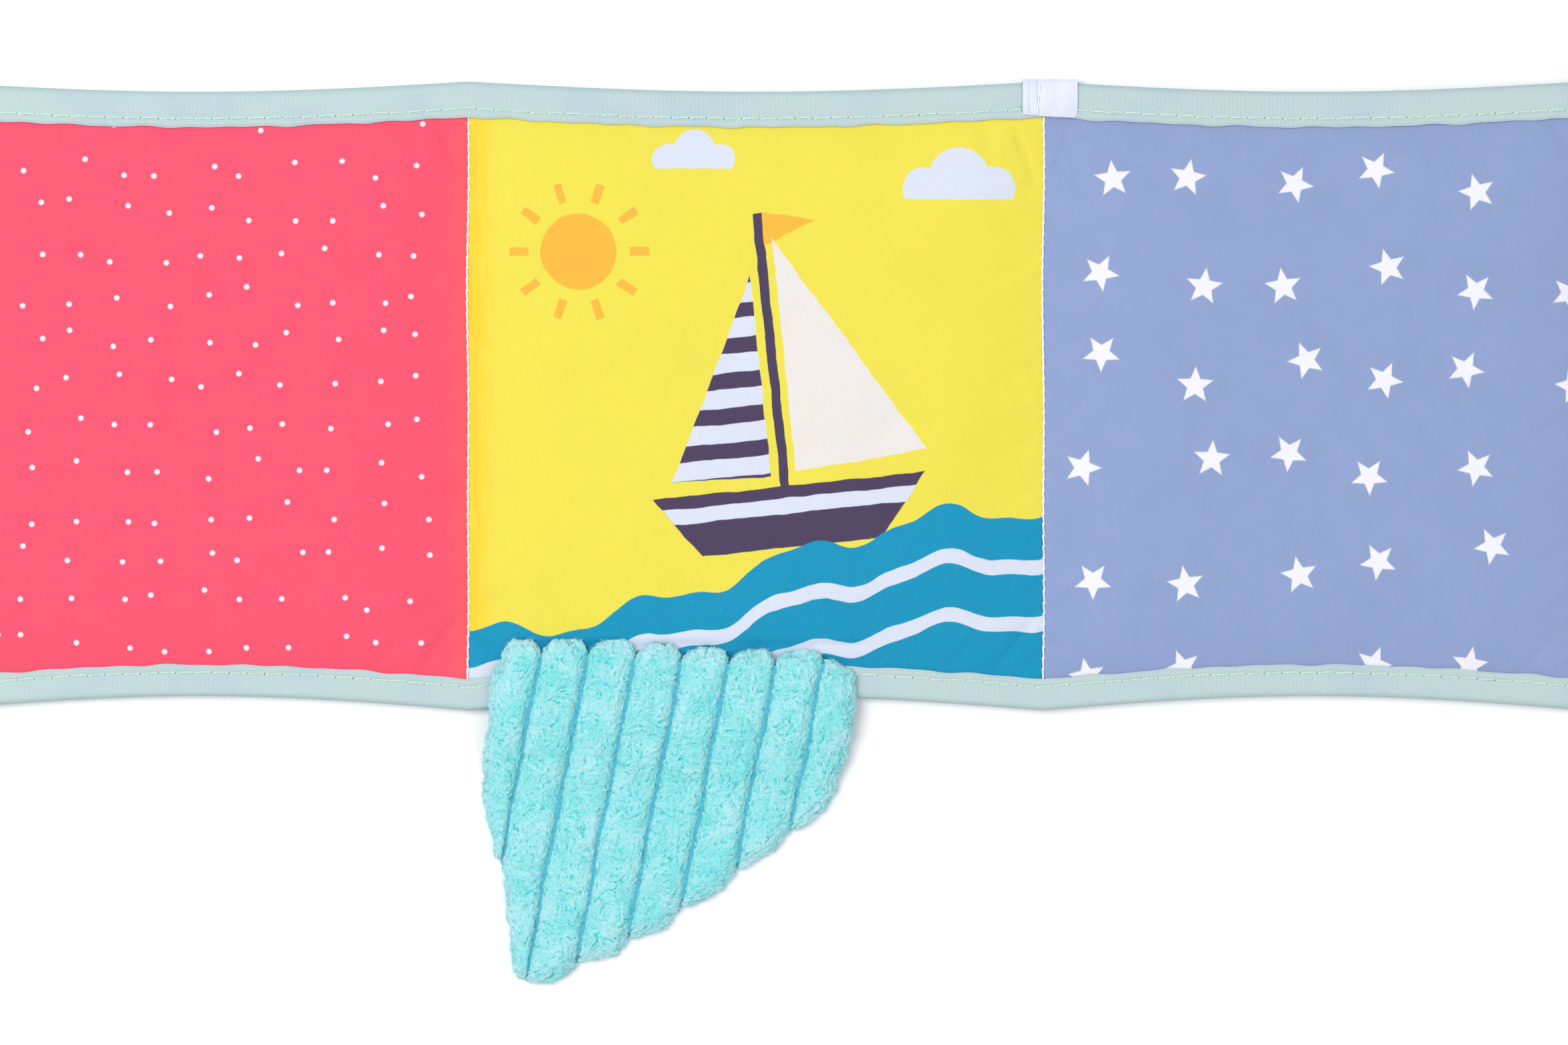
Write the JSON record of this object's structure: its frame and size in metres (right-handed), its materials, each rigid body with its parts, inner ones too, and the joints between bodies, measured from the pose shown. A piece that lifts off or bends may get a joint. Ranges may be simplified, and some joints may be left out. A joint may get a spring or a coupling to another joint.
{
  "type": "crinkle cloth book",
  "caption": "Soft cloth book for a baby: padded crinkly pages in a folding strip, with bound edges, a satin tab and a plush flap that lifts",
  "frame": {"origin": "middle of the flat that the middle page rests on, with the book laid open", "axes": "+X along the strip of pages, +Y up the page, +Z out of the pages' fronts"},
  "size_m": [0.48, 0.2515, 0.0102],
  "materials": {
    "yellow_cloth": "printed polyester, fine twill",
    "pink_cloth": "printed polyester, fine twill",
    "lavender_cloth": "printed polyester, fine twill",
    "crinkle_film": "thin crackling film",
    "wadding": "loose polyester wadding",
    "mint_tape": "ribbed binding tape",
    "white_satin": "satin ribbon",
    "turquoise_lining": "plain lining cloth",
    "turquoise_plush": "wide-wale plush"
  },
  "bodies": {
    "left_page": {"left_page_front_cloth": "pink_cloth", "left_page_crinkle_film": "crinkle_film", "left_page_wadding": "wadding", "left_page_back_cloth": "pink_cloth", "left_page_top_binding": "mint_tape", "left_page_bottom_binding": "mint_tape", "left_page_end_binding": "mint_tape"},
    "middle_page": {"middle_page_front_cloth": "yellow_cloth", "middle_page_crinkle_film": "crinkle_film", "middle_page_wadding": "wadding", "middle_page_back_cloth": "yellow_cloth", "middle_page_top_binding": "mint_tape", "middle_page_bottom_binding": "mint_tape", "satin_tab": "white_satin"},
    "right_page": {"right_page_front_cloth": "lavender_cloth", "right_page_crinkle_film": "crinkle_film", "right_page_wadding": "wadding", "right_page_back_cloth": "lavender_cloth", "right_page_top_binding": "mint_tape", "right_page_bottom_binding": "mint_tape", "right_page_end_binding": "mint_tape"},
    "flap": {"flap_lining": "turquoise_lining", "flap_plush": "turquoise_plush"}
  },
  "joints": [
    {"name": "left_fold", "type": "hinge", "parent": "middle_page", "child": "left_page", "pos_m": [-0.08, 0, 0.00075], "axis": [0, -1, 0], "range_deg": [0, 170]},
    {"name": "right_fold", "type": "hinge", "parent": "middle_page", "child": "right_page", "pos_m": [0.08, 0, 0.00385], "axis": [0, -1, 0], "range_deg": [0, 155], "deforming": ["satin_tab"]},
    {"name": "flap_lift", "type": "hinge", "parent": "middle_page", "child": "flap", "pos_m": [0, -0.0715, 0.0054], "axis": [-1, 0, 0], "range_deg": [0, 158]}
  ]
}
